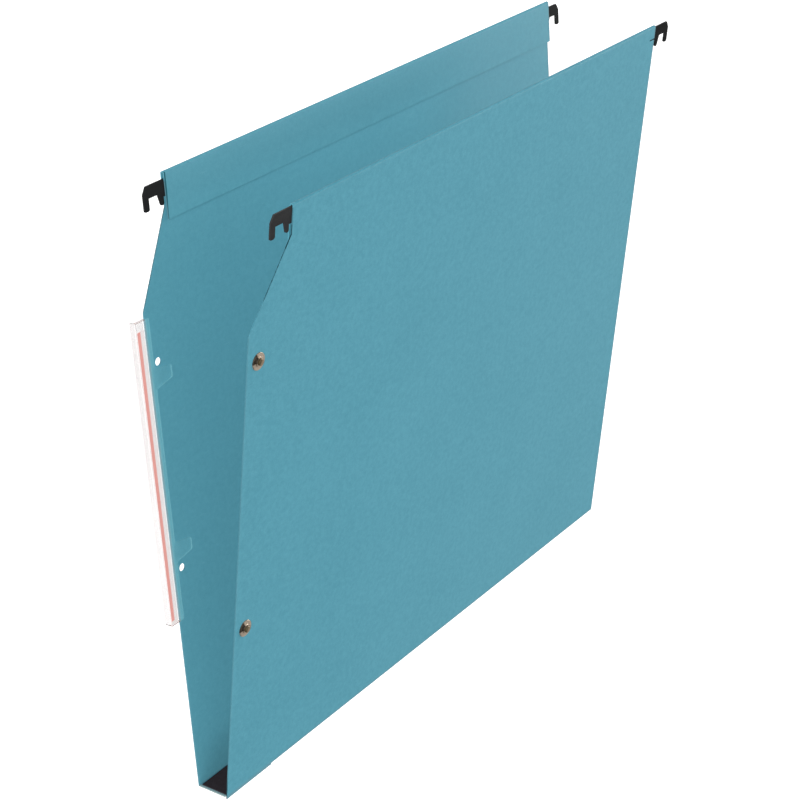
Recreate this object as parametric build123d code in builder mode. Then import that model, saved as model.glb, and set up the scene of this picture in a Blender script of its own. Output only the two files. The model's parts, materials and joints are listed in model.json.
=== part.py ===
"""Lateral hanging file folder, in millimetres.

A card folder with two panels, a narrow flat base and a hem along the top of each panel.
A flat steel rail lies loose in each hem, and a black hook on each of its ends hangs on a
support rail. The front panel carries two press studs. The back panel carries a clear
label holder on its left edge, with a paper label in it.

X runs along the rails, to the right. Y runs from the front panel to the back panel.
Z is up. The origin is the middle of the four hook seats.
"""
from build123d import *
import os
from math import cos, hypot, radians, sin

# Card folder
card = 0.5
panel_length = 339.1
panel_left = -181.1
base_width = 16.4
panel_tilt = 4.85
panel_corner_radius = 3.0
crease_clearance = 0.05

# Cut-away left corner of each panel, with heights above the bottom crease
front_cut_width = 26.6
front_cut_top = 278.0
front_cut_bottom = 240.0
back_cut_width = 21.2
back_cut_top = 277.9
back_cut_bottom = 236.5

# Foot of the front panel, left standing by a slit beside the crease
foot_length = 34.0
foot_depth = 0.6
foot_clearance = 0.15

# Rails and hooks
seat_spacing = 330.0
seat_height = 284.7
front_rail_shift = 2.4
back_rail_shift = -2.4
rail_thickness = 0.4
rail_below_seat = 1.9
rail_inset = 10.0
hook_thickness = 0.8
hook_plate_height = 5.7
hook_shoulder_height = 2.4
hook_shoulder_inset = 2.1
hook_notch_width = 5.9
hook_outer_prong_width = 3.3
hook_prong_length = 5.4
hook_inner_prong_root = 3.6
hook_inner_prong_tip = 2.0
hook_tip_radius = 0.9
hook_shoulder_radius = 0.7
hook_tail_reach = 22.0
hook_peg_radius = 1.2
hook_peg_clearance = 0.1

# Hem folded over each rail, with the flap's depth below the hook seats
sleeve_clearance = 0.1
front_rail_slack = 0.1
back_rail_slack = 2.3
hem_depth = 12.4
slit_length = 4.6
slit_height = 0.7
slit_above_rail_foot = 1.6

# Glue seam that closes each hem under the rail, short of the hem's open ends
seam_below_rail = 0.3
seam_height = 4.0
seam_end_margin = 12.0
seam_hook_margin = 4.0

# Black strip that stiffens the base
strip_thickness = 0.4
strip_end_margin = 1.1
strip_side_margin = 1.1

# Press studs on the front panel
stud_inset = 7.4
stud_heights = {"upper": 226.0, "lower": 91.2}
stud_flange_radius = 4.1
stud_flange_thickness = 0.45
stud_collar_radius = 2.3
stud_collar_height = 0.5
stud_neck_radius = 1.35
stud_neck_height = 0.3
stud_head_radius = 1.6
stud_head_height = 0.65
stud_flange_round = 0.25
stud_edge_bevel = 0.2
stud_bore_clearance = 0.05
stud_hole_clearance = 0.1
cap_radius = 4.0
cap_thickness = 0.6
cap_bevel = 0.35
cap_barrel_radius = 1.25
cap_barrel_reach = 0.75
cap_barrel_end_gap = 0.1

# Holes in the back panel
hole_inset = 5.7
hole_radius = 1.85
hole_heights = {"upper": 212.4, "lower": 112.3}

# Clear label holder on the back panel's left edge
holder_bottom = 87.8
holder_length = 146.1
holder_wall = 0.6
holder_reach = 6.1
holder_flange = 2.4
holder_lip = 3.1
holder_clearance = 0.05
holder_edge_gap = 0.1
ear_heights = {"upper": 205.5, "lower": 121.5}
ear_root_height = 10.4
ear_tip_height = 6.0
ear_reach = 13.3
ear_radius = 1.0
holder_bend_radius = 0.5
holder_tip_radius = 0.2

# Paper label in the holder
label_thickness = 0.3
label_clearance = 0.1
label_short_of_top = 4.6

# Worked out from the sizes above
tilt_sin = sin(radians(panel_tilt))
tilt_cos = cos(radians(panel_tilt))
panel_right = panel_left + panel_length
sleeve_gap = hook_thickness + 2 * sleeve_clearance
rail_depth = card / 2 + sleeve_gap / 2
fold_radius = sleeve_gap / 2 + card
lap_depth = rail_depth - hook_thickness / 2 + rail_thickness
rail_top = seat_height + hook_plate_height
rail_foot = seat_height - rail_below_seat
front_height = rail_top + front_rail_slack + fold_radius
back_height = rail_top + back_rail_slack + fold_radius
hem_bottom = seat_height - hem_depth
seam_top = rail_foot - seam_below_rail
crease_z = -(seat_height * tilt_cos + rail_depth * tilt_sin)
base_half = base_width / 2 - card / 2 - crease_clearance
foot_sweep = hypot(card / 2 + foot_depth, card / 2) + foot_clearance
holder_face = card / 2 + holder_clearance
pocket_left = holder_wall - holder_reach
pocket_right = -holder_edge_gap - holder_wall

FRONT = -1
BACK = 1


def along(side, height, inward=0.0, x=0.0):
    """Point on a panel: height above its crease, and distance inward from its middle plane."""
    y = side * (base_width / 2 + height * tilt_sin - inward * tilt_cos)
    return (x, y, crease_z + height * tilt_cos + inward * tilt_sin)


def face_plane(side, inward=0.0):
    """Plane along a panel: x along the crease, y up the panel, and z towards -Y."""
    return Plane(along(side, 0, inward), x_dir=(1, 0, 0), z_dir=(0, -tilt_cos, side * tilt_sin))


def section_plane(side, x):
    """Plane across a panel at x: local x inward, local y up the panel."""
    return Plane(along(side, 0, 0, x), x_dir=(0, -side * tilt_cos, tilt_sin), z_dir=(-side, 0, 0))


def inward_z(side, inward):
    """Height in face_plane's own z of a distance inward from the panel's middle plane."""
    return side * inward


def make_panel(side, height, cut_width, cut_top, cut_bottom):
    """Card panel with its cut corner, rolled bottom crease, and top folded over into a hem."""
    fold_centre = height - fold_radius
    cut_x = panel_left + cut_width
    with BuildPart() as panel:
        with BuildSketch(face_plane(side)) as sheet:
            with BuildLine():
                Polyline(
                    (panel_left, 0),
                    (panel_right, 0),
                    (panel_right, fold_centre),
                    (cut_x, fold_centre),
                    (cut_x, cut_top),
                    (panel_left, cut_bottom),
                    close=True,
                )
            make_face()
            corner = sheet.vertices().sort_by_distance((panel_left, cut_bottom))[0]
            fillet(corner, panel_corner_radius)
        extrude(amount=card / 2, both=True)
        with BuildSketch(section_plane(side, panel_left)):
            Circle(card / 2)
        extrude(amount=panel_length, dir=(1, 0, 0))
        with BuildSketch(section_plane(side, cut_x)):
            with BuildLine():
                outer_start = (-card / 2, fold_centre)
                inner_start = (card / 2, fold_centre)
                outer_end = (card / 2 + sleeve_gap + card, fold_centre)
                inner_end = (card / 2 + sleeve_gap, fold_centre)
                ThreePointArc(outer_start, (rail_depth, height), outer_end)
                Polyline(
                    outer_end,
                    (card / 2 + sleeve_gap + card, hem_bottom),
                    (card / 2 + sleeve_gap, hem_bottom),
                    inner_end,
                )
                ThreePointArc(inner_end, (rail_depth, height - card), inner_start)
                Line(inner_start, outer_start)
            make_face()
        extrude(amount=panel_length - cut_width, dir=(1, 0, 0))
    return panel.part


def make_seam(side, cut_width, shift):
    """Bar of glue between a panel and its flap, under the rail and clear of the hooks' inner prongs."""
    prong_clear = seat_spacing / 2 - hook_notch_width / 2 - hook_inner_prong_root - seam_hook_margin
    seam_left = max(panel_left + cut_width + seam_end_margin, shift - prong_clear)
    seam_right = min(panel_right - seam_end_margin, shift + prong_clear)
    with BuildPart() as seam:
        with BuildSketch(face_plane(side, card / 2)):
            with Locations((seam_left, seam_top)):
                Rectangle(seam_right - seam_left, seam_height, align=(Align.MIN, Align.MAX))
        extrude(amount=inward_z(side, sleeve_gap))
    return seam.part


def make_rail(side, shift):
    """Flat steel strip with a peg hole near each end, lying in the outer half of its hem."""
    length = seat_spacing - 2 * rail_inset
    lap = hook_tail_reach - rail_inset
    with BuildPart() as rail:
        with BuildSketch(face_plane(side, lap_depth)):
            with Locations((shift, (rail_top + rail_foot) / 2)):
                Rectangle(length, rail_top - rail_foot)
                with GridLocations(length - lap, 1, 2, 1):
                    Circle(hook_peg_radius + hook_peg_clearance, mode=Mode.SUBTRACT)
        extrude(amount=inward_z(side, -rail_thickness))
    return rail.part


def make_hook(side, hand, shift):
    """Hook for one end of a rail: a notched plate whose thinned tail is pegged to the rail."""
    seat_x = hand * seat_spacing / 2 + shift
    half_notch = hook_notch_width / 2
    outer_x = half_notch + hook_outer_prong_width
    root_x = half_notch + hook_inner_prong_root
    lap_middle = (rail_inset + hook_tail_reach) / 2
    tail_middle = (hook_plate_height - rail_below_seat) / 2

    def place(distance, height):
        """Point at a distance from the notch's middle, towards the rail, and a height over the seat."""
        return (seat_x - hand * distance, seat_height + height)

    shoulder = place(-outer_x, hook_shoulder_height)
    crown = place(-outer_x + hook_shoulder_inset, hook_plate_height)
    with BuildPart() as hook:
        with BuildSketch(face_plane(side, rail_depth)) as plate:
            with BuildLine():
                Polyline(
                    place(-outer_x, -hook_prong_length),
                    shoulder,
                    crown,
                    place(hook_tail_reach, hook_plate_height),
                    place(hook_tail_reach, -rail_below_seat),
                    place(root_x, -rail_below_seat),
                    place(root_x, -hook_prong_length),
                    place(root_x - hook_inner_prong_tip, -hook_prong_length),
                    place(half_notch, 0),
                    place(-half_notch, 0),
                    place(-half_notch, -hook_prong_length),
                    close=True,
                )
            make_face()
            fillet(plate.vertices().group_by(Axis.Y)[0], hook_tip_radius)
            for bend in (shoulder, crown):
                fillet(plate.vertices().sort_by_distance(bend)[0], hook_shoulder_radius)
        extrude(amount=hook_thickness / 2, both=True)
        with BuildSketch(face_plane(side, lap_depth)):
            with Locations(place(lap_middle, tail_middle)):
                Rectangle(hook_tail_reach - rail_inset, hook_plate_height + rail_below_seat)
        extrude(amount=inward_z(side, -hook_thickness), mode=Mode.SUBTRACT)
        with BuildSketch(face_plane(side, lap_depth)):
            with Locations(place(lap_middle, tail_middle)):
                Circle(hook_peg_radius)
        extrude(amount=inward_z(side, -rail_thickness))
    return hook.part


def stud_section(height):
    """Plane through a stud's axis: local x along the crease, local y outward from the card."""
    origin = along(FRONT, height, -card / 2, panel_left + stud_inset)
    return Plane(origin, x_dir=(1, 0, 0), z_dir=(0, tilt_sin, -tilt_cos))


def stud_axis(height):
    """Axis of a stud, pointing outward from the front panel."""
    origin = along(FRONT, height, -card / 2, panel_left + stud_inset)
    return Axis(origin, (0, -tilt_cos, -tilt_sin))


def make_stud(height):
    """Brass male stud: a flange, and a collar with a blind bore under a necked head."""
    bore_radius = cap_barrel_radius + stud_bore_clearance
    bore_depth = cap_barrel_reach + cap_barrel_end_gap
    collar_top = stud_flange_thickness + stud_collar_height
    neck_top = collar_top + stud_neck_height
    head_top = neck_top + stud_head_height
    with BuildPart() as stud:
        with BuildSketch(stud_section(height)) as profile:
            with BuildLine():
                Polyline(
                    (bore_radius, 0),
                    (stud_flange_radius, 0),
                    (stud_flange_radius, stud_flange_thickness),
                    (stud_collar_radius, stud_flange_thickness),
                    (stud_collar_radius, collar_top),
                    (stud_neck_radius, collar_top),
                    (stud_neck_radius, neck_top),
                    (stud_head_radius, neck_top),
                    (stud_head_radius, head_top),
                    (0, head_top),
                    (0, bore_depth),
                    (bore_radius, bore_depth),
                    close=True,
                )
            make_face()
            rim = (stud_flange_radius, stud_flange_thickness)
            fillet(profile.vertices().sort_by_distance(rim)[0], stud_flange_round)
            for edge in ((stud_collar_radius, collar_top), (stud_head_radius, head_top)):
                chamfer(profile.vertices().sort_by_distance(edge)[0], stud_edge_bevel)
        revolve(axis=stud_axis(height))
    return stud.part


def make_cap(height):
    """Cap on the inside of the front panel, with a barrel through the card into the stud."""
    with BuildPart() as cap:
        with BuildSketch(stud_section(height)) as profile:
            with BuildLine():
                Polyline(
                    (0, -card - cap_thickness),
                    (cap_radius, -card - cap_thickness),
                    (cap_radius, -card),
                    (cap_barrel_radius, -card),
                    (cap_barrel_radius, cap_barrel_reach),
                    (0, cap_barrel_reach),
                    close=True,
                )
            make_face()
            chamfer(profile.vertices().sort_by_distance((cap_radius, -card - cap_thickness))[0], cap_bevel)
        revolve(axis=stud_axis(height))
    return cap.part


def save(part, name):
    """Label a finished piece and write it under its own name."""
    part.label = name
    export_step(part, f"parts/{name}.step")


os.makedirs("parts", exist_ok=True)

# Front panel, with its stud holes, the slit at the end of the hem, and its foot
with BuildPart() as front_panel:
    add(make_panel(FRONT, front_height, front_cut_width, front_cut_top, front_cut_bottom))
    with BuildSketch(face_plane(FRONT)):
        with Locations(*[(panel_left + stud_inset, height) for height in stud_heights.values()]):
            Circle(cap_barrel_radius + stud_hole_clearance)
    extrude(amount=card, both=True, mode=Mode.SUBTRACT)
    with BuildSketch(face_plane(FRONT)):
        with Locations((panel_right, rail_foot + slit_above_rail_foot)):
            Rectangle(2 * slit_length, slit_height)
    extrude(amount=rail_depth, both=True, mode=Mode.SUBTRACT)
    with BuildSketch(face_plane(FRONT)):
        with Locations((panel_left, 0)):
            Rectangle(foot_length, card / 2 + foot_depth, align=(Align.MIN, Align.MAX))
    extrude(amount=card / 2, both=True)
save(front_panel.part, "front_panel")

# Back panel, with its two round holes
with BuildPart() as back_panel:
    add(make_panel(BACK, back_height, back_cut_width, back_cut_top, back_cut_bottom))
    with BuildSketch(face_plane(BACK)):
        with Locations(*[(panel_left + hole_inset, height) for height in hole_heights.values()]):
            Circle(hole_radius)
    extrude(amount=card, both=True, mode=Mode.SUBTRACT)
save(back_panel.part, "back_panel")

# Card base between the creases, cut back where the front panel's foot swings
with BuildPart() as base_panel:
    with BuildSketch(Plane((panel_left, 0, crease_z))):
        Rectangle(panel_length, 2 * base_half, align=(Align.MIN, Align.CENTER))
        with Locations((0, -base_width / 2)):
            Rectangle(
                foot_length + foot_clearance,
                foot_sweep,
                align=(Align.MIN, Align.MIN),
                mode=Mode.SUBTRACT,
            )
    extrude(amount=card / 2, both=True)
save(base_panel.part, "base_panel")

# Black strip glued along the top of the base
with BuildPart() as base_strip:
    with BuildSketch(Plane((panel_left + panel_length / 2, 0, crease_z + card / 2))):
        Rectangle(panel_length - 2 * strip_end_margin, base_width - 2 * strip_side_margin)
    extrude(amount=strip_thickness)
save(base_strip.part, "base_strip")

# Glue seam in each hem
save(make_seam(FRONT, front_cut_width, front_rail_shift), "front_hem_seam")
save(make_seam(BACK, back_cut_width, back_rail_shift), "back_hem_seam")

# A rail and its two hooks in each hem
for name, side, shift in (("front", FRONT, front_rail_shift), ("back", BACK, back_rail_shift)):
    save(make_rail(side, shift), f"{name}_rail")
    save(make_hook(side, -1, shift), f"{name}_left_hook")
    save(make_hook(side, 1, shift), f"{name}_right_hook")

# Press studs and their caps
for name, height in stud_heights.items():
    save(make_stud(height), f"{name}_stud")
    save(make_cap(height), f"{name}_stud_cap")

# Clear label holder: an extruded clip with a pocket and a turned lip, and two ears on the card
holder_plane = Plane(
    along(BACK, holder_bottom, 0, panel_left), x_dir=(1, 0, 0), z_dir=(0, tilt_sin, tilt_cos)
)
with BuildPart() as label_holder:
    outer_face = holder_face + holder_wall
    with BuildSketch(holder_plane) as clip:
        with BuildLine():
            Polyline(
                (holder_flange, -holder_face),
                (-holder_edge_gap, -holder_face),
                (-holder_edge_gap, holder_face),
                (holder_flange, holder_face),
                (holder_flange, outer_face),
                (pocket_left, outer_face),
                (pocket_left, holder_lip),
                (-holder_reach, holder_lip),
                (-holder_reach, -outer_face),
                (holder_flange, -outer_face),
                close=True,
            )
        make_face()
        fillet(clip.vertices().sort_by_distance((-holder_reach, -outer_face))[0], holder_bend_radius)
        fillet(clip.vertices().sort_by_distance((pocket_left, outer_face))[0], holder_bend_radius)
        for tip in ((holder_flange, -outer_face), (holder_flange, outer_face)):
            fillet(clip.vertices().sort_by_distance(tip)[0], holder_tip_radius)
        with Locations(((pocket_left + pocket_right) / 2, 0)):
            Rectangle(pocket_right - pocket_left, 2 * holder_face, mode=Mode.SUBTRACT)
    extrude(amount=holder_length)
    with BuildSketch(face_plane(BACK, holder_face)) as ears:
        for middle in ear_heights.values():
            tip_x = panel_left + ear_reach
            tips = ((tip_x, middle - ear_tip_height / 2), (tip_x, middle + ear_tip_height / 2))
            with BuildLine():
                Polyline(
                    (panel_left, middle - ear_root_height / 2),
                    tips[0],
                    tips[1],
                    (panel_left, middle + ear_root_height / 2),
                    close=True,
                )
            make_face()
            for tip in tips:
                fillet(ears.vertices().sort_by_distance(tip)[0], ear_radius)
    extrude(amount=inward_z(BACK, holder_wall))
save(label_holder.part, "label_holder")

# Paper label, standing in the holder's pocket
with BuildPart() as label_insert:
    with BuildSketch(holder_plane):
        with Locations(((pocket_left + pocket_right) / 2, 0)):
            Rectangle(pocket_right - pocket_left - 2 * label_clearance, label_thickness)
    extrude(amount=holder_length - label_short_of_top)
save(label_insert.part, "label_insert")
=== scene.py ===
"""Looks of the hanging file folder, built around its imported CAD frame. Lengths are in metres."""
import json
from math import atan2, cos, pi, radians, sin
from types import SimpleNamespace

import bpy
from mathutils import Matrix, Vector


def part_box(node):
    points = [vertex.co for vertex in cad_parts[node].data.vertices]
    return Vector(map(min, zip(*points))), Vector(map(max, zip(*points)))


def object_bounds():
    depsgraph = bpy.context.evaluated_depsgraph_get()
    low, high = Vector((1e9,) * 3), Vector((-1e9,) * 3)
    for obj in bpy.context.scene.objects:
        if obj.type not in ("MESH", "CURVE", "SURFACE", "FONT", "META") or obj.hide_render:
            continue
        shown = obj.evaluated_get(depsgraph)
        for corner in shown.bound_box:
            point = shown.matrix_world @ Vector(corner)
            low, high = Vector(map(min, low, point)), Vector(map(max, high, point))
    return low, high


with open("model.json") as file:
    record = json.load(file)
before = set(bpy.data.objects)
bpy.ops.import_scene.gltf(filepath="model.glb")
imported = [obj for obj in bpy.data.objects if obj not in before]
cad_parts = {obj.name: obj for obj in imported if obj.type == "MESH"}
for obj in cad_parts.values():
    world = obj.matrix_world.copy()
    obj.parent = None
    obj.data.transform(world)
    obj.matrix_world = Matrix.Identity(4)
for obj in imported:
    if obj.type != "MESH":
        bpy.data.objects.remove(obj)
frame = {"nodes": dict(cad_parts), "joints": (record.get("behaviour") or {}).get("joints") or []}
cad_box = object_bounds()
nodes = frame["nodes"]
joints = {joint["name"]: joint for joint in frame["joints"]}

# Camera, at the photograph's viewing angle, with its sensor in millimetres
image_width = 800
focal_pixels = 2248.73
sensor_width = 36.0
nearest_view = 0.01
camera_azimuth = radians(-55.98)
camera_elevation = radians(25.82)
camera_roll = radians(0.25)
camera_place = Vector((-0.84781, -0.55421, 0.33662))

# Suns, with level as the share of white that a sun gives to a surface facing it
suns = {
    "key": SimpleNamespace(level=1.31, azimuth=radians(-57), elevation=radians(20.3), spread=radians(2.5)),
    "side": SimpleNamespace(level=0.50, azimuth=radians(65), elevation=radians(7), spread=radians(35)),
    "fill": SimpleNamespace(level=0.50, azimuth=radians(130), elevation=radians(28), spread=radians(70)),
}

# Surround, with spans as heights on a sphere of radius 1
upper_level = 0.34
lower_level = 0.26
horizon_level = 0.90
horizon_span = (-0.05, 0.05)
band_span = (0.04, 0.16)

# Floor, below the whole swing of the front panel, because the folder hangs
floor_side = 40.0
floor_drop = 0.35
floor_dull = (0.9016, 0.9016, 0.9016, 1)
floor_white = (0.92, 0.92, 0.92, 1)
floor_glow = 0.42

# Card colours, from its darkest grain to its fibres, then the painted shade along a panel's crease and right
# edge, the painted shadow of the gap at a flap's end and cut edges
card_dark = (0.065, 0.262, 0.341, 1)
card_light = (0.099, 0.334, 0.426, 1)
# Painted light: the back panel's card, the same card as the front's, in lighter colours
lit_back_dark = (0.083, 0.292, 0.370, 1)
lit_back_light = (0.104, 0.339, 0.424, 1)
card_fibre = (0.150, 0.390, 0.480, 1)
black_dark = (0.0255, 0.0170, 0.0195, 1)
black_light = (0.0375, 0.0290, 0.0335, 1)
black_fibre = (0.050, 0.043, 0.047, 1)
edge_shade_colour = (0.130, 0.262, 0.310, 1)
gap_shadow_colour = (0.008, 0.070, 0.088, 1)
# Painted shade: the front panel's cut edges darker than the back's
front_shaded_edge = (0.058, 0.185, 0.232, 1)
back_edge = (0.130, 0.270, 0.330, 1)
base_edge = (0.360, 0.430, 0.415, 1)

# Painted light across the front panel: tints at its left and right ends, redder and brighter to the right
front_light_tints = ((0.94, 0.975, 0.975, 1), (1.08, 1.01, 1.0, 1))

# Card grain, in noise cells per metre
fine_cells = 1500
mottle_cells = 420
cloud_cells = 24
wear_cells = 900
fibre_cells = (260, 2600, 2600)
fibre_turns = (radians(24), radians(-52))

# Wear of the card: distances from its ends, and how much it is rubbed at its ends; then distances from its
# crease and right edge, for the painted shade along them
rub_span = (0.0002, 0.0018)
edge_shade_span = (0.0002, 0.0013)
panel_rub = 0.12
base_rub = 0.9
strip_rub = 0.1

# Hems: heights up a panel from its crease, at the flap's edge, the hooks' plates and the fold
hem_low = 0.2723
hem_high = 0.2850
hem_blur = 0.0005
plate_low = 0.2818
plate_high = 0.2893
plate_blur = 0.0008
fold_blur = 0.001

# Hems: their left ends, and depths into the panel, between its two layers and within its flap
front_hem_left = -0.1545
back_hem_left = -0.1599
layer_depths = (0.0006, 0.0010)
flap_depths = (0.0014, 0.0016)

# Painted shadow of the gap at a flap's left end, which widens over the flap's height
gap_shadow_widths = (0.0005, 0.0011)
gap_shadow_rise = 0.014
gap_shadow_blur = 0.0003

# Distance within which one panel darkens the other deep in the fold, as painted shade, and the heights where
# that ends
fold_reach = 0.024
fold_heights = (0.05, 0.10)
sky_samples = 16

# Places of the painted soft shade at a panel's upper right and upper left, and of the painted shade over its
# crease
right_shade_across = (0.025, 0.095)
right_shade_heights = (0.16, 0.23)
left_shade_across = (-0.13, -0.05)
left_shade_heights = (0.225, hem_low)
foot_heights = (0.004, 0.016)

# Height from which the slanted edge of the front panel's cut corner has painted shade
front_slant_dark = 0.2525
slant_blur = 0.002

# Hooks: colours of the plastic, a lighter one for narrow faces as painted highlight, and the share of it
# that each hook shows, as painted light and shade
hook_dark = (0.028, 0.028, 0.029, 1)
hook_light = (0.046, 0.047, 0.048, 1)
hook_edge_highlight = (0.052, 0.053, 0.055, 1)
lit_hook_level = 0.75
dim_hook_level = 0.39
far_hook_level = 0.29
spark_cells = 3800
flow_cells = (60, 400, 400)

# Rails, in steel darkened partly as painted shade, and glue
steel_dark = (0.060, 0.060, 0.064, 1)
steel_light = (0.115, 0.115, 0.122, 1)
rolled_cells = (120, 5000, 5000)
bloom_cells = 260
glue_dark = (0.50, 0.47, 0.38, 1)
glue_light = (0.72, 0.69, 0.60, 1)
glue_cells = 500

# Press studs: brass colours, with painted light and shade, then distances from a stud's axis and towards its
# side with painted shade
brass_dark = (0.45, 0.35, 0.26, 1)
brass_light = (0.67, 0.575, 0.465, 1)
head_lit = (0.36, 0.27, 0.17, 1)
head_dark = (0.085, 0.062, 0.024, 1)
wall_shade_colour = (0.070, 0.050, 0.018, 1)
brass_shade_colour = (0.024, 0.018, 0.011, 1)
smudge_cells = 1300
polish_cells = 5200
shaded_side = Vector((-0.875, 0, 0.485))
head_radii = (0.0015, 0.0018)
crescent_radii = (0.0016, 0.0019)
wall_radii = (0.0026, 0.0028)
rim_radii = (0.0037, 0.0040)
head_turn = (-0.0005, 0.0009)
rim_turn = (0.0, 0.002)

# Label holder: colours off and over the card, the one over the card a pale cyan that paints the holder's
# reflection and highlights there, and of the two halves of its sawn upper end
clear_off_card = (0.41, 0.365, 0.36, 1)
painted_reflection_over_card = (0.52, 1.0, 1.0, 1)
sawn_outer = (0.13, 0.13, 0.115, 1)
sawn_inner = (0.25, 0.12, 0.09, 1)
draw_cells = (5000, 5000, 60)
haze_cells = 180

# Label holder: depths from the card, distances from the card's end and the label, and the lip's paler foot
lip_depths = (-0.0001, 0.0002)
wall_depths = (-0.0001, 0.0001)
sawn_depths = (-0.0012, -0.0006)
card_end_blur = 0.0002
bridge_blur = 0.0003
strip_near = 0.0005
strip_far = 0.0025
ear_near = 0.004
ear_far = 0.006
pale_foot = 0.09

# Label: paper and ink, and its stripe, measured from the label's left edge and from its lower end
paper_dark = (0.87, 0.80, 0.785, 1)
paper_light = (0.95, 0.885, 0.87, 1)
ink_dark = (0.87, 0.345, 0.300, 1)
ink_light = (0.95, 0.420, 0.370, 1)
paper_cells = 2200
paper_fibre_cells = (400, 4000, 4000)
paper_fibre_turn = radians(31)
stripe_start = 0.0002
stripe_end = 0.0022
stripe_foot = 0.0019
stripe_blur = 0.00004
stripe_foot_blur = 0.0001
stripe_raggedness = 0.00006

# Spans of a whole share, and of a cosine over which a face comes to count as turned towards a direction
whole_span = (0.0, 1.0)
facing_span = (0.3, 0.7)

# Places of the colour sockets on a Mix node
mix_first = 6
mix_second = 7
mix_result = 2


def direction(azimuth, elevation):
    """Unit vector towards a place around the object. Azimuth 0 is in front of it, and 90 is to its right."""
    return Vector((sin(azimuth) * cos(elevation), -cos(azimuth) * cos(elevation), sin(elevation)))


def feed(tree, socket, value):
    """Link a socket to another one, or give it a fixed value."""
    if isinstance(value, bpy.types.NodeSocket):
        tree.links.new(value, socket)
    else:
        socket.default_value = value


def add_node(tree, kind, inputs=None, **settings):
    """Add a node, set its properties, and feed its inputs."""
    node = tree.nodes.new("ShaderNode" + kind)
    for key, value in settings.items():
        setattr(node, key, value)
    for key, value in (inputs or {}).items():
        feed(tree, node.inputs[key], value)
    return node


def calculate(tree, operation, *values):
    """Result of a Math node."""
    return add_node(tree, "Math", dict(enumerate(values)), operation=operation).outputs[0]


def product(tree, first, *others):
    """Product of several values."""
    for value in others:
        first = calculate(tree, "MULTIPLY", first, value)
    return first


def highest(tree, first, *others):
    """Highest of several values."""
    for value in others:
        first = calculate(tree, "MAXIMUM", first, value)
    return first


def remainder(tree, value):
    """What a value leaves of 1."""
    return calculate(tree, "SUBTRACT", 1.0, value)


def magnitude(tree, value):
    """Value without its sign."""
    return calculate(tree, "ABSOLUTE", value)


def ramp(tree, value, span, start=0.0, end=1.0):
    """Number eased from start to end as a value crosses a span."""
    inputs = {"Value": value, "From Min": span[0], "From Max": span[1], "To Min": start, "To Max": end}
    return add_node(tree, "MapRange", inputs, interpolation_type="SMOOTHSTEP").outputs["Result"]


def fade(tree, value, span, start=1.0):
    """Number eased from start to 0 as a value crosses a span."""
    return ramp(tree, value, span, start, 0.0)


def mix(tree, factor, first, second, blend="MIX"):
    """Colour between two colours, or blended from them in another way."""
    inputs = {"Factor": factor, mix_first: first, mix_second: second}
    return add_node(tree, "Mix", inputs, data_type="RGBA", blend_type=blend).outputs[mix_result]


def shaded(tree, colour, brightness):
    """Colour made darker, by a brightness of 0 to 1."""
    return mix(tree, brightness, (0, 0, 0, 1), colour)


def noise(tree, place, cells, detail=2.0, roughness=0.5):
    """Noise value at a place."""
    inputs = {"Vector": place, "Scale": cells, "Detail": detail, "Roughness": roughness}
    return add_node(tree, "TexNoise", inputs).outputs[0]


def streaks(tree, place, turn, cells, detail, roughness):
    """Noise drawn out into streaks: turned, with its own cells per metre along each axis."""
    inputs = {"Vector": place, "Rotation": turn, "Scale": cells}
    stretched = add_node(tree, "Mapping", inputs).outputs["Vector"]
    return noise(tree, stretched, 1, detail, roughness)


def bump(tree, height, distance, strength):
    """Normal of a surface with small hills and hollows of that height."""
    inputs = {"Height": height, "Distance": distance, "Strength": strength}
    return add_node(tree, "Bump", inputs).outputs["Normal"]


def axes(tree, vector):
    """X, Y and Z of a vector, by name."""
    return add_node(tree, "SeparateXYZ", {"Vector": vector}).outputs


def offset_from(tree, place, origin):
    """Vector to a place from an origin."""
    return add_node(tree, "VectorMath", {0: place, 1: origin}, operation="SUBTRACT").outputs[0]


def along(tree, vector, towards):
    """Length of a vector along a direction."""
    return add_node(tree, "VectorMath", {0: vector, 1: towards}, operation="DOT_PRODUCT").outputs["Value"]


def distance_along(tree, place, origin, towards):
    """Distance of a place from an origin, along a direction."""
    return along(tree, offset_from(tree, place, origin), towards)


def new_surface(name):
    """New material, with its node tree, its place and normal in the object's own frame, and its shader."""
    material = bpy.data.materials.new(name)
    material.use_nodes = True
    tree = material.node_tree
    tree.nodes.clear()
    coordinates = add_node(tree, "TexCoord").outputs
    shader = add_node(tree, "BsdfPrincipled")
    output = add_node(tree, "OutputMaterial")
    tree.links.new(shader.outputs["BSDF"], output.inputs["Surface"])
    return SimpleNamespace(
        material=material,
        tree=tree,
        place=coordinates["Object"],
        normal=coordinates["Normal"],
        shader=shader,
    )


def finish_surface(surface, **inputs):
    """Feed a shader's inputs, named with underscores for spaces, and return its material."""
    for key, value in inputs.items():
        feed(surface.tree, surface.shader.inputs[key.replace("_", " ")], value)
    return surface.material


def card_grain(tree, place):
    """Card's grain as three values: tone, scattered fibres, and height."""
    mottle_share = 0.7
    cloud_share = 0.2
    tone_span = (0.50, 1.40)
    fibre_span = (0.66, 0.80)
    fibre_height = 0.5
    fine = noise(tree, place, fine_cells, detail=3, roughness=0.6)
    tone = calculate(tree, "MULTIPLY_ADD", noise(tree, place, mottle_cells), mottle_share, fine)
    tone = calculate(tree, "MULTIPLY_ADD", noise(tree, place, cloud_cells), cloud_share, tone)
    fibres = [
        streaks(tree, place, (0, turn, 0), fibre_cells, detail=1, roughness=0.4)
        for turn in fibre_turns
    ]
    fibre = ramp(tree, highest(tree, *fibres), fibre_span)
    height = calculate(tree, "MULTIPLY_ADD", fibre, fibre_height, fine)
    return ramp(tree, tone, tone_span), fibre, height


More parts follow.
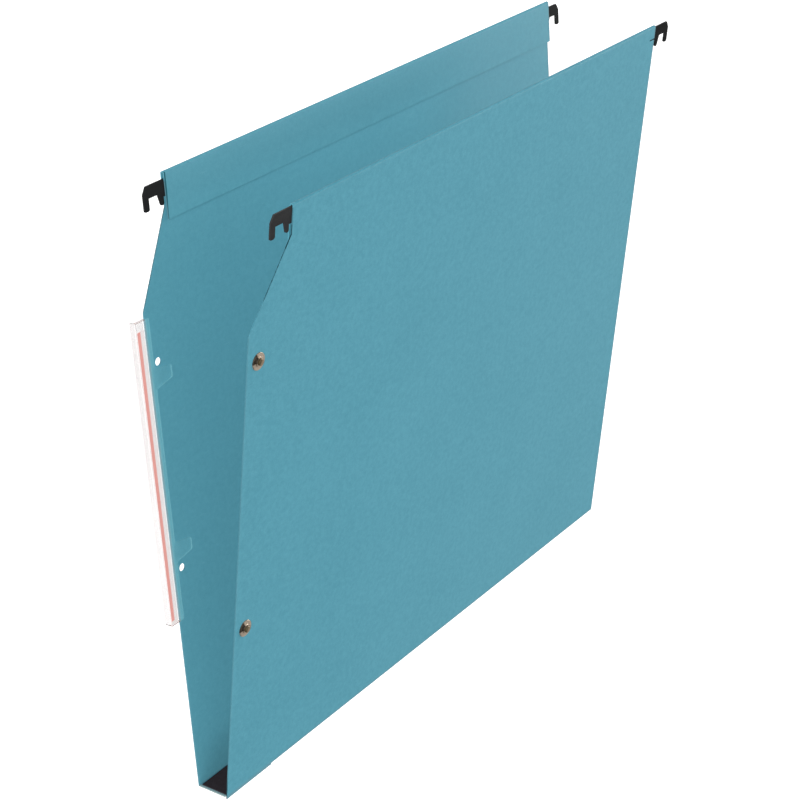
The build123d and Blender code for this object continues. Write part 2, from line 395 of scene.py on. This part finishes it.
def panel_shade(tree, place, normal, side):
    """Painted shade of a hemmed panel, as a brightness that is lower deep in the fold and on its hem, and
    the painted shadow of the gap at its flap's end.
    """
    closed_span = (0.05, 0.78)
    closed_shade = 0.36
    level_span = (0.6, 0.9)
    flap_edge_shade = 0.8
    flap_shades = (0.07, 0.13)
    gap_shadow_share = 0.85
    left_share = 0.5
    left_face_span = (-0.8, -0.5)
    fold_face_span = (-0.08, 0.25)
    fold_shade = 0.20

    height = distance_along(tree, place, side.crease, side.up)
    depth = distance_along(tree, place, side.crease, side.inward)
    across = axes(tree, place)["X"]
    facing = axes(tree, normal)
    inner = ramp(tree, along(tree, normal, side.inward), facing_span)
    in_hem = ramp(tree, height, (hem_low, hem_low + hem_blur))
    above_hem = ramp(tree, height, (hem_high, hem_high + fold_blur))

    # Painted shade, from an ambient-occlusion node, on inner faces that the other panel closes in
    sky = add_node(tree, "AmbientOcclusion", {"Distance": fold_reach}, samples=sky_samples).outputs["AO"]
    deep = product(tree, fade(tree, sky, closed_span, closed_shade), inner, fade(tree, height, fold_heights))

    # Painted shade on the edge along the foot of the flap
    level = ramp(tree, magnitude(tree, facing["Z"]), level_span)
    flap_edge = product(tree, level, in_hem, remainder(tree, above_hem), flap_edge_shade)

    # Painted shade on the flap, and the painted shadow of the gap at its left end
    on_flap = product(tree, ramp(tree, depth, flap_depths), inner, in_hem)
    flap = product(tree, on_flap, ramp(tree, height, (hem_low, hem_high), *flap_shades))
    from_hem = calculate(tree, "SUBTRACT", across, side.hem_left)
    gap_width = ramp(tree, height, (hem_low, hem_low + gap_shadow_rise), *gap_shadow_widths)
    in_gap_shadow = calculate(tree, "SUBTRACT", gap_width, from_hem)
    gap_shadow = product(tree, ramp(tree, in_gap_shadow, (0.0, gap_shadow_blur), end=gap_shadow_share), on_flap)

    # Painted soft shade at the upper right and upper left of the inner face
    right_shade = ramp(tree, across, right_shade_across, end=side.far_shade)
    right_shade = product(tree, right_shade, ramp(tree, height, right_shade_heights))
    left_shade = fade(tree, across, left_shade_across, left_share * side.far_shade)
    left_shade = product(tree, left_shade, ramp(tree, height, left_shade_heights))
    soft = product(tree, highest(tree, left_shade, right_shade), inner)

    # Painted shade on left end faces, in the hem and over the crease
    end = ramp(tree, height, (plate_low, plate_low + plate_blur), side.end_shade, side.plate_shade)
    end = product(tree, end, in_hem, fade(tree, height, (plate_high, plate_high + fold_blur)))
    end = highest(tree, end, fade(tree, height, foot_heights, side.low_shade))
    end = product(tree, end, fade(tree, facing["X"], left_face_span))
    end = product(tree, end, ramp(tree, depth, layer_depths, 1.0, side.flap_end))

    # Painted shade on the rounded top of the hem, where it faces up
    fold = product(tree, ramp(tree, facing["Z"], fold_face_span, end=fold_shade), above_hem)

    return remainder(tree, highest(tree, deep, flap_edge, flap, soft, end, fold)), gap_shadow


def card_material(name, colours, edge, rub, side=None, light_tints=None):
    """Dyed card: fine grain and fibres, its own tone where it is cut, and rubbed paler beside its ends; on
    panels, painted light and shade.
    """
    fibre_share = 0.35
    wear_span = (0.3, 0.7)
    least_wear = 0.6
    edge_shade_share = 0.7
    cut_span = (0.2, 0.5)
    slant_span = (0.1, 0.5)
    slant_shade = 0.70
    upright_span = (0.15, 0.5)
    sheens = (0.42, 0.05)
    height_span = (0.2, 1.0)
    roughnesses = (0.42, 0.56)

    surface = new_surface(name)
    tree = surface.tree
    place = surface.place
    tone, fibre, height = card_grain(tree, place)
    dark, light, fleck = colours
    colour = mix(tree, tone, dark, light)
    colour = mix(tree, product(tree, fibre, fibre_share), colour, fleck)

    facing = axes(tree, surface.normal)
    across = axes(tree, place)["X"]
    left, right = (corner.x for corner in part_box("back_panel"))
    from_middle = calculate(tree, "SUBTRACT", across, (left + right) / 2)
    to_end = calculate(tree, "SUBTRACT", (right - left) / 2, magnitude(tree, from_middle))
    broken = ramp(tree, noise(tree, place, wear_cells, detail=3, roughness=0.65), wear_span, least_wear)
    rubbed = product(tree, fade(tree, to_end, rub_span, rub), broken)
    colour = mix(tree, rubbed, colour, fleck)
    # Painted light across the front panel, redder and brighter towards its right end
    if light_tints:
        painted_light = mix(tree, ramp(tree, across, (left, right)), *light_tints)
        colour = mix(tree, 1.0, colour, painted_light, "MULTIPLY")

    # Cut edges in the card's cut tone, with painted shade on slanted cut faces that face up
    cut = ramp(tree, magnitude(tree, facing["X"]), cut_span)
    painted_slant_shade = ramp(tree, facing["Z"], slant_span, end=slant_shade)
    if side:
        up_panel = distance_along(tree, place, side.crease, side.up)
        depth = distance_along(tree, place, side.crease, side.inward)
        cut = product(tree, cut, ramp(tree, depth, layer_depths, 1.0, side.flap_end))
        cut = product(tree, cut, fade(tree, up_panel, (plate_high, plate_high + fold_blur)))
        to_edge = calculate(tree, "MINIMUM", up_panel, calculate(tree, "SUBTRACT", right, across))
        # Painted shade along the panel's crease and right edge
        colour = mix(tree, fade(tree, to_edge, edge_shade_span, edge_shade_share), colour, edge_shade_colour)
        slant_shade_above = ramp(tree, up_panel, (side.slant_dark, side.slant_dark + slant_blur))
        painted_slant_shade = product(tree, painted_slant_shade, slant_shade_above)
    edge_colour = shaded(tree, edge, remainder(tree, painted_slant_shade))
    colour = mix(tree, product(tree, cut, broken), colour, edge_colour)
    sheen = ramp(tree, magnitude(tree, facing["Z"]), upright_span, *sheens)
    if side:
        # Painted shade of the panel, and the painted shadow of the gap at its flap's end
        brightness, gap_shadow = panel_shade(tree, place, surface.normal, side)
        colour = mix(tree, gap_shadow, shaded(tree, colour, brightness), gap_shadow_colour)
        sheen = product(tree, sheen, brightness, remainder(tree, gap_shadow))

    return finish_surface(
        surface,
        Base_Color=colour,
        Roughness=ramp(tree, height, height_span, *roughnesses),
        Normal=bump(tree, height, distance=0.00006, strength=0.5),
        IOR=1.5,
        Specular_IOR_Level=sheen,
    )


def plastic_material(name, level):
    """Black moulded plastic, darkened to a given brightness as painted light and shade, with a painted
    highlight on its narrow faces and a fine spark-eroded texture.
    """
    flow_share = 0.5
    tone_span = (0.4, 1.1)
    broad_span = (0.3, 0.8)
    edge_highlight_share = 0.5
    roughnesses = (0.42, 0.60)

    surface = new_surface(name)
    tree = surface.tree
    texture = noise(tree, surface.place, spark_cells, detail=3, roughness=0.6)
    flow = streaks(tree, surface.place, (0, 0, 0), flow_cells, detail=2, roughness=0.5)
    tone = calculate(tree, "MULTIPLY_ADD", flow, flow_share, texture)
    # Painted highlight on the narrow faces
    narrow = fade(tree, magnitude(tree, axes(tree, surface.normal)["Y"]), broad_span)
    colour = mix(tree, ramp(tree, tone, tone_span), hook_dark, hook_light)
    colour = mix(tree, product(tree, narrow, edge_highlight_share), colour, hook_edge_highlight)
    return finish_surface(
        surface,
        Base_Color=shaded(tree, colour, level),
        Roughness=ramp(tree, tone, tone_span, *roughnesses),
        Normal=bump(tree, texture, distance=0.00002, strength=0.5),
        IOR=1.5,
        Specular_IOR_Level=0.04,
    )


def steel_material(name):
    """Dark strip steel, rolled along X; part of its darkness is painted shade for where the rails show
    inside the hems.
    """
    roughness_span = (0.6, 1.4)
    roughnesses = (0.24, 0.46)

    surface = new_surface(name)
    tree = surface.tree
    rolled = streaks(tree, surface.place, (0, 0, 0), rolled_cells, detail=3, roughness=0.6)
    bloom = noise(tree, surface.place, bloom_cells, detail=3, roughness=0.6)
    return finish_surface(
        surface,
        Base_Color=mix(tree, bloom, steel_dark, steel_light),
        Metallic=1.0,
        Roughness=ramp(tree, calculate(tree, "ADD", rolled, bloom), roughness_span, *roughnesses),
        Normal=bump(tree, rolled, distance=0.000012, strength=0.4),
    )


def glue_material(name):
    """Dried adhesive, cloudy and uneven."""
    roughness_span = (0.3, 0.7)
    roughnesses = (0.25, 0.55)

    surface = new_surface(name)
    tree = surface.tree
    cloud = noise(tree, surface.place, glue_cells, detail=4, roughness=0.6)
    return finish_surface(
        surface,
        Base_Color=mix(tree, cloud, glue_dark, glue_light),
        Roughness=ramp(tree, cloud, roughness_span, *roughnesses),
        Normal=bump(tree, cloud, distance=0.00008, strength=0.6),
        IOR=1.47,
    )


def brass_material(name, node, outward):
    """Pale pressed brass, with painted shade on its left-facing inner walls, in a crescent and on the rim up
    and to the left, and a head lit on one side and shaded on the other.
    """
    crescent_span = (0.70, 0.86)
    rim_share = 0.6
    left_facing_span = (-0.75, -0.35)
    left_facing_share = 0.85
    smudge_span = (0.25, 0.6)
    least_shade = 0.8
    head_share = 0.9
    roughness_span = (0.3, 1.4)
    roughnesses = (0.46, 0.68)

    surface = new_surface(name)
    tree = surface.tree
    low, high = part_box(node)
    offset = offset_from(tree, surface.place, (low + high) / 2)
    beside = add_node(tree, "VectorMath", {0: offset, 1: outward}, operation="CROSS_PRODUCT").outputs[0]
    radius = add_node(tree, "VectorMath", {0: beside}, operation="LENGTH").outputs["Value"]
    up_left = along(tree, offset, shaded_side)

    smudge = noise(tree, surface.place, smudge_cells, detail=4, roughness=0.65)
    polish = noise(tree, surface.place, polish_cells)
    # Painted shade: a crescent and the rim up and to the left, and walls that face left
    crescent = ramp(tree, calculate(tree, "DIVIDE", up_left, radius), crescent_span)
    crescent = product(tree, crescent, ramp(tree, radius, crescent_radii))
    rim = product(tree, ramp(tree, up_left, rim_turn, end=rim_share), ramp(tree, radius, rim_radii))
    left_facing = fade(tree, axes(tree, surface.normal)["X"], left_facing_span, left_facing_share)
    left_facing = product(tree, left_facing, fade(tree, radius, wall_radii))
    painted_shade = product(tree, highest(tree, crescent, rim), ramp(tree, smudge, smudge_span, least_shade))
    # Head lit on one side and shaded on the other, as painted light and shade
    head = mix(tree, ramp(tree, up_left, head_turn), head_lit, head_dark)
    colour = mix(tree, smudge, brass_dark, brass_light)
    colour = mix(tree, fade(tree, radius, head_radii, head_share), colour, head)
    colour = mix(tree, left_facing, colour, wall_shade_colour)
    colour = mix(tree, painted_shade, colour, brass_shade_colour)
    return finish_surface(
        surface,
        Base_Color=colour,
        Metallic=0.65,
        Roughness=ramp(tree, calculate(tree, "ADD", smudge, painted_shade), roughness_span, *roughnesses),
        Normal=bump(tree, polish, distance=0.00001, strength=0.4),
    )


def clear_material(name, up, crease, inward):
    """Clear extruded plastic, with faint draw lines, painted highlights on its rims, painted reflection
    where it lies on the card and a darker upper end.
    """
    cloud_span = (0.6, 1.4)
    edge_span = (0.5, 0.9)
    sawn_span = (0.8, 0.95)
    lip_levels = (0.34, 0.12)
    lip_foot_share = 0.4
    wall_levels = (0.28, 0.045)
    bridge_level = 0.38
    uneven_shares = (0.95, 1.05)
    ear_levels = (0.035, 0.018)
    strip_level = 0.11
    rim_highlight_level = 0.13
    sawn_level = 0.92
    roughnesses = (0.12, 0.28)

    surface = new_surface(name)
    tree = surface.tree
    place = surface.place
    lean = atan2(up.y, up.z)
    lines = streaks(tree, place, (lean, 0, 0), draw_cells, detail=2, roughness=0.5)
    haze = noise(tree, place, haze_cells, detail=3, roughness=0.6)
    cloudy = ramp(tree, calculate(tree, "ADD", lines, haze), cloud_span)
    facing = axes(tree, surface.normal)
    where = axes(tree, place)
    depth = distance_along(tree, place, crease, inward)
    card_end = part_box("back_panel")[0].x
    label_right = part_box("label_insert")[1].x
    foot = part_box("label_holder")[0].z
    over_card = ramp(tree, where["X"], (card_end - card_end_blur, card_end + card_end_blur))
    off_card = remainder(tree, over_card)

    # Walls and lip of the pocket, beside the card
    lip = ramp(tree, magnitude(tree, facing["X"]), edge_span)
    lip = product(tree, lip, ramp(tree, depth, lip_depths, *lip_levels))
    lip = product(tree, lip, ramp(tree, where["Z"], (foot, foot + pale_foot), lip_foot_share))
    walls = ramp(tree, depth, wall_depths, *wall_levels)
    bridge = ramp(tree, where["X"], (label_right, label_right + bridge_blur), end=bridge_level)
    pocket = product(tree, highest(tree, lip, walls, bridge), off_card)
    pocket = product(tree, pocket, ramp(tree, cloudy, whole_span, *uneven_shares))

    # Strip and ears that lie on the card, as painted reflection, and their rims, as painted highlight
    ears = ramp(tree, where["X"], (card_end + ear_near, card_end + ear_far), *ear_levels)
    strip = fade(tree, where["X"], (card_end + strip_near, card_end + strip_far), strip_level)
    rim = fade(tree, magnitude(tree, facing["Y"]), edge_span, rim_highlight_level)
    on_card = product(tree, highest(tree, rim, ears, strip), over_card)

    # Sawn upper end
    sawn = product(tree, ramp(tree, along(tree, surface.normal, up), sawn_span), off_card)
    sawn_colour = mix(tree, ramp(tree, depth, sawn_depths), sawn_outer, sawn_inner)

    clear = mix(tree, over_card, clear_off_card, painted_reflection_over_card)
    return finish_surface(
        surface,
        Base_Color=mix(tree, sawn, clear, sawn_colour),
        Roughness=ramp(tree, cloudy, whole_span, *roughnesses),
        Normal=bump(tree, lines, distance=0.00001, strength=0.2),
        IOR=1.53,
        Specular_IOR_Level=0.3,
        Alpha=highest(tree, pocket, on_card, product(tree, sawn, sawn_level)),
    )


def label_material(name, inward):
    """White paper printed on one face with a plain orange stripe along its left side."""
    fibre_share = 0.4
    tone_span = (0.4, 1.0)
    roughnesses = (0.72, 0.50)

    surface = new_surface(name)
    tree = surface.tree
    place = surface.place
    grain = noise(tree, place, paper_cells, detail=3, roughness=0.6)
    fibre = streaks(tree, place, (0, paper_fibre_turn, 0), paper_fibre_cells, detail=1, roughness=0.4)
    tone = calculate(tree, "MULTIPLY_ADD", fibre, fibre_share, grain)
    lightness = ramp(tree, tone, tone_span)
    paper = mix(tree, lightness, paper_dark, paper_light)
    ink = mix(tree, lightness, ink_dark, ink_light)

    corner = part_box("label_insert")[0]
    where = axes(tree, offset_from(tree, place, corner))
    ragged = calculate(tree, "MULTIPLY_ADD", grain, stripe_raggedness, where["X"])
    inked = ramp(tree, ragged, (stripe_start, stripe_start + stripe_blur))
    inked = product(tree, inked, fade(tree, ragged, (stripe_end, stripe_end + stripe_blur)))
    inked = product(tree, inked, ramp(tree, where["Z"], (stripe_foot, stripe_foot + stripe_foot_blur)))
    inked = product(tree, inked, ramp(tree, along(tree, surface.normal, inward), facing_span))
    return finish_surface(
        surface,
        Base_Color=mix(tree, inked, paper, ink),
        Roughness=ramp(tree, inked, whole_span, *roughnesses),
        Normal=bump(tree, tone, distance=0.00002, strength=0.4),
        IOR=1.5,
    )


def floor_material(name):
    """Matt white studio floor with a trace of unevenness."""
    surface = new_surface(name)
    trace = noise(surface.tree, surface.place, cells=3.0, detail=3, roughness=0.5)
    return finish_surface(
        surface,
        Base_Color=mix(surface.tree, trace, floor_dull, floor_white),
        Emission_Color=(1, 1, 1, 1),
        Emission_Strength=floor_glow,
        Roughness=0.9,
        Specular_IOR_Level=0.1,
    )


def dress(material, *names):
    """Give CAD nodes a material."""
    for name in names:
        slots = nodes[name].data.materials
        slots.clear()
        slots.append(material)


def add_sun(name, sun):
    """Distant soft light."""
    light = bpy.data.lights.new(name, "SUN")
    light.energy = sun.level * pi
    light.angle = sun.spread
    lamp = bpy.data.objects.new(name, light)
    lamp.rotation_euler = direction(sun.azimuth, sun.elevation).to_track_quat("Z", "Y").to_euler()
    bpy.context.scene.collection.objects.link(lamp)


def add_world():
    """Soft surround, dimmer below the object, with a bright band at the horizon."""
    world = bpy.data.worlds.new("studio")
    world.use_nodes = True
    tree = world.node_tree
    tree.nodes.clear()
    height = axes(tree, add_node(tree, "TexCoord").outputs["Generated"])["Z"]
    surround = ramp(tree, height, horizon_span, lower_level, upper_level)
    band = fade(tree, magnitude(tree, height), band_span, horizon_level)
    level = highest(tree, surround, band)
    background = add_node(tree, "Background", {"Color": (1, 1, 1, 1), "Strength": level})
    output = add_node(tree, "OutputWorld")
    tree.links.new(background.outputs["Background"], output.inputs["Surface"])
    bpy.context.scene.world = world


def add_floor(height):
    """Wide plain floor under the object."""
    half = floor_side / 2
    mesh = bpy.data.meshes.new("floor")
    corners = [(-half, -half, height), (half, -half, height), (half, half, height), (-half, half, height)]
    mesh.from_pydata(corners, [], [(0, 1, 2, 3)])
    mesh.materials.append(floor_material("floor"))
    floor = bpy.data.objects.new("floor", mesh)
    floor.visible_diffuse = False
    floor.visible_glossy = False
    bpy.context.scene.collection.objects.link(floor)


def add_camera():
    """Camera that repeats the photograph's view."""
    back = direction(camera_azimuth, camera_elevation)
    right = Vector((cos(camera_azimuth), sin(camera_azimuth), 0))
    up = back.cross(right)
    rolled_right = right * cos(camera_roll) + up * sin(camera_roll)
    rolled_up = up * cos(camera_roll) - right * sin(camera_roll)
    lens = bpy.data.cameras.new("camera")
    lens.sensor_fit = "HORIZONTAL"
    lens.sensor_width = sensor_width
    lens.lens = focal_pixels * sensor_width / image_width
    lens.clip_start = nearest_view
    camera = bpy.data.objects.new("camera", lens)
    turn = Matrix((rolled_right, rolled_up, back)).transposed().to_4x4()
    camera.matrix_world = Matrix.Translation(camera_place) @ turn
    bpy.context.scene.collection.objects.link(camera)
    bpy.context.scene.camera = camera


# The two panels: where each stands, and the painted shade on its own parts
label_up = Vector(joints["label_slide"]["axis"]).normalized()
back_side = SimpleNamespace(
    crease=Vector(joints["back_fold"]["pos_m"]),
    up=label_up,
    inward=Vector((0, -label_up.z, label_up.y)),
    hem_left=back_hem_left,
    end_shade=0.35,
    plate_shade=0.35,
    low_shade=0.0,
    flap_end=1.0,
    far_shade=0.135,
    slant_dark=0.0,
)
front_side = SimpleNamespace(
    crease=Vector(joints["front_fold"]["pos_m"]),
    up=Vector((0, -label_up.y, label_up.z)),
    inward=Vector((0, label_up.z, label_up.y)),
    hem_left=front_hem_left,
    end_shade=0.7,
    plate_shade=0.2,
    low_shade=0.7,
    flap_end=0.0,
    far_shade=0.0,
    slant_dark=front_slant_dark,
)

# Card
teal = (card_dark, card_light, card_fibre)
lit_back_teal = (lit_back_dark, lit_back_light, card_fibre)
base_teal = (card_dark, card_light, base_edge)
black = (black_dark, black_light, black_fibre)
dress(card_material("back_card", lit_back_teal, back_edge, panel_rub, back_side), "back_panel")
dress(card_material("front_card", teal, front_shaded_edge, panel_rub, front_side, front_light_tints), "front_panel")
dress(card_material("base_card", base_teal, base_edge, base_rub), "base_panel")
dress(card_material("black_card", black, black_fibre, strip_rub), "base_strip")

# Hooks, rails and glue
# Painted light and shade: the near hook is lit, one is in the front panel's shade, and two are seen from
# behind
dress(plastic_material("lit_hook", lit_hook_level), "front_left_hook")
dress(plastic_material("dim_hook", dim_hook_level), "back_left_hook")
dress(plastic_material("far_hook", far_hook_level), "front_right_hook", "back_right_hook")
dress(steel_material("rail_steel"), "front_rail", "back_rail")
dress(glue_material("seam_glue"), "front_hem_seam", "back_hem_seam")

# Press studs and their caps
stud_outward = -front_side.inward
for name in ("upper_stud", "lower_stud"):
    dress(brass_material(name + "_brass", name, stud_outward), name)
    dress(brass_material(name + "_cap_brass", name + "_cap", -stud_outward), name + "_cap")

# Label and its holder
dress(clear_material("clear_holder", back_side.up, back_side.crease, back_side.inward), "label_holder")
dress(label_material("striped_label", back_side.inward), "label_insert")

# The thin hooks and the clear holder cast no shadow on the card
for name in ("front_left_hook", "front_right_hook", "back_left_hook", "back_right_hook", "label_holder"):
    nodes[name].visible_shadow = False

# Studio
add_world()
for name, sun in suns.items():
    add_sun(name, sun)
add_floor(cad_box[0].z - floor_drop)
add_camera()
bpy.context.scene.view_settings.view_transform = "Standard"
